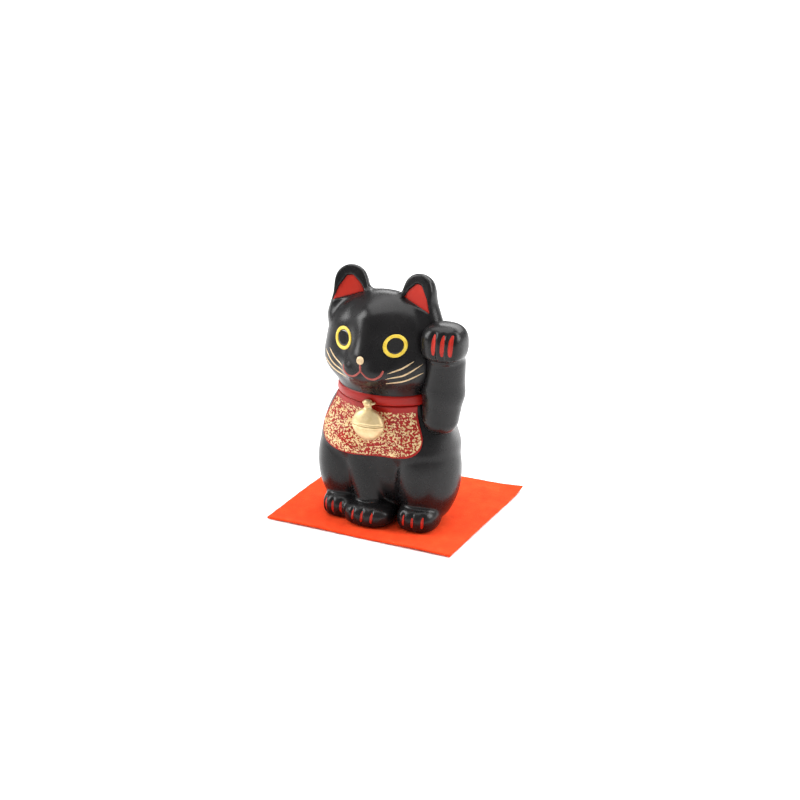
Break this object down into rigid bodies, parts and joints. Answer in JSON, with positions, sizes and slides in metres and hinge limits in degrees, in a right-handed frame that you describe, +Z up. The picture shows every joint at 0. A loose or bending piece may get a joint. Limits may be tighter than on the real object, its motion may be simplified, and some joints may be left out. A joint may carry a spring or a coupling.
{
  "type": "beckoning cat figurine",
  "caption": "Hollow seated ceramic cat with one paw raised, a bib and a hanging bell, on a loose felt mat",
  "frame": {"origin": "middle of the felt mat's underside, which rests on the table", "axes": "+Z up; the cat faces -Y; the cat's own left, with the raised paw, is +X"},
  "size_m": [0.12, 0.1068, 0.1529],
  "materials": {
    "black_glaze": "satin black glaze",
    "bib_red": "satin deep red",
    "bib_flecked": "deep red strewn with pale gold flakes",
    "red_enamel": "satin red enamel",
    "yellow_enamel": "gloss yellow enamel",
    "pupil_glaze": "gloss black",
    "gilt_line": "matt pale gold paint",
    "mouth_red": "matt dull red paint",
    "bell_gold": "matt pale gold",
    "pellet_steel": "plain steel ball",
    "red_felt": "orange-red wool felt"
  },
  "bodies": {
    "mat": {"felt_mat": "red_felt"},
    "cat": {"torso_shell": "black_glaze", "head_shell": "black_glaze", "raised_arm": "black_glaze", "collar_band": "bib_red", "bib": "bib_flecked", "ear_panel_left": "red_enamel", "eye_ring_left": "yellow_enamel", "pupil_left": "pupil_glaze", "whisker_left_1": "gilt_line", "whisker_left_2": "gilt_line", "whisker_left_3": "gilt_line", "ear_panel_right": "red_enamel", "eye_ring_right": "yellow_enamel", "pupil_right": "pupil_glaze", "whisker_right_1": "gilt_line", "whisker_right_2": "gilt_line", "whisker_right_3": "gilt_line", "nose_tip": "gilt_line", "mouth_line": "mouth_red", "claw_raised_1": "red_enamel", "claw_raised_2": "red_enamel", "claw_raised_3": "red_enamel", "claw_front_1": "red_enamel", "claw_front_2": "red_enamel", "claw_front_3": "red_enamel", "claw_hind_left_1": "red_enamel", "claw_hind_left_2": "red_enamel", "claw_hind_left_3": "red_enamel", "claw_hind_right_1": "red_enamel", "claw_hind_right_2": "red_enamel", "claw_hind_right_3": "red_enamel", "bell_staple": "bell_gold"},
    "bell": {"bell_upper": "bell_gold", "bell_lower": "bell_gold"},
    "pellet": {"bell_pellet": "pellet_steel"}
  },
  "joints": [
    {"name": "lift_off_mat", "type": "slide", "parent": "mat", "child": "cat", "axis": [0, 0, 1], "range_m": [0, 0.06]},
    {"name": "bell_swing", "type": "hinge", "parent": "cat", "child": "bell", "pos_m": [0.002, -0.04136, 0.0798], "axis": [-1, 0, 0], "range_deg": [0, 50]},
    {"name": "pellet_rise", "type": "slide", "parent": "bell", "child": "pellet", "axis": [0, 0, 1], "range_m": [0, 0.006]}
  ]
}
